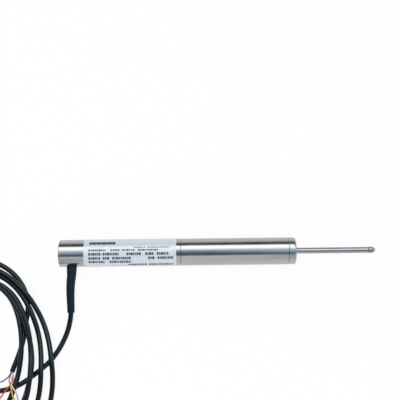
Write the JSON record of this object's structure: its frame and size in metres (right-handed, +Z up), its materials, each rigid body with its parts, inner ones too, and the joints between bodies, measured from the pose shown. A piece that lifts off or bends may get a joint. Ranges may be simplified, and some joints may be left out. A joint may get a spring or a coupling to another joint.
{
  "type": "lvdt displacement sensor",
  "caption": "Cylindrical stainless steel displacement sensor with a sprung plunger and contact tip, a wrap label and a coiled cable from a side exit; measures position at its tip.",
  "frame": {"origin": "Middle of the sensor's length on the surface that it lies on, below its axis", "axes": "+X along the axis towards the contact tip, +Z up, the cable leaves towards -Y"},
  "size_m": [0.3441, 0.1659, 0.0192],
  "materials": {
    "stainless_steel": "centreless-ground stainless steel",
    "ground_shaft": "fine ground and polished steel",
    "tip_steel": "hardened tool steel",
    "label_film": "satin white polyester label",
    "cable_jacket": "satin black PVC",
    "shrink_sleeve": "satin black heat-shrink",
    "wire_blue": "wire insulation",
    "wire_red": "wire insulation",
    "wire_yellow": "wire insulation",
    "wire_white": "wire insulation",
    "circuit_board": "solder mask on glass-epoxy",
    "component_plastic": "moulded component bodies",
    "brass_parts": "turned brass",
    "fastener_steel": "plain steel",
    "former_plastic": "moulded bobbin",
    "copper_winding": "enamelled copper wire",
    "core_alloy": "annealed nickel-iron",
    "bushing_bronze": "sintered bronze",
    "wiper_rubber": "nitrile rubber",
    "washer_nylon": "natural nylon"
  },
  "bodies": {
    "housing": {"rear_housing": "stainless_steel", "rear_cap": "stainless_steel", "front_housing": "stainless_steel", "front_cap": "stainless_steel", "label": "label_film", "bulkhead": "stainless_steel", "cable_nipple": "stainless_steel", "cable_crimp": "brass_parts", "strain_relief": "shrink_sleeve", "cable_lead": "cable_jacket", "cable_coil": "cable_jacket", "cable_tail": "cable_jacket", "lead_wire_blue": "wire_blue", "lead_wire_red": "wire_red", "lead_wire_yellow": "wire_yellow", "lead_wire_white": "wire_white", "inner_leads": "wire_yellow", "oscillator_board": "circuit_board", "demodulator_board": "circuit_board", "board_components": "component_plastic", "board_spacers": "brass_parts", "board_screws": "fastener_steel", "coil_former": "former_plastic", "primary_winding": "copper_winding", "rear_secondary": "copper_winding", "front_secondary": "copper_winding", "bore_liner": "stainless_steel", "magnetic_shield": "core_alloy", "front_bushing": "bushing_bronze", "rear_bushing": "bushing_bronze", "wiper_seal": "wiper_rubber", "stop_washer": "washer_nylon", "return_spring": "fastener_steel"},
    "plunger": {"plunger_shaft": "ground_shaft", "contact_tip": "tip_steel", "stop_collar": "stainless_steel", "collar_screw": "fastener_steel", "core_rod": "ground_shaft", "core": "core_alloy", "core_nuts": "brass_parts"}
  },
  "joints": [
    {"name": "plunger_slide", "type": "slide", "parent": "housing", "child": "plunger", "axis": [1, 0, 0], "range_m": [-0.028, 0], "stiffness_N_per_m": 50, "springref_m": 0.02, "deforming": ["return_spring"]}
  ]
}
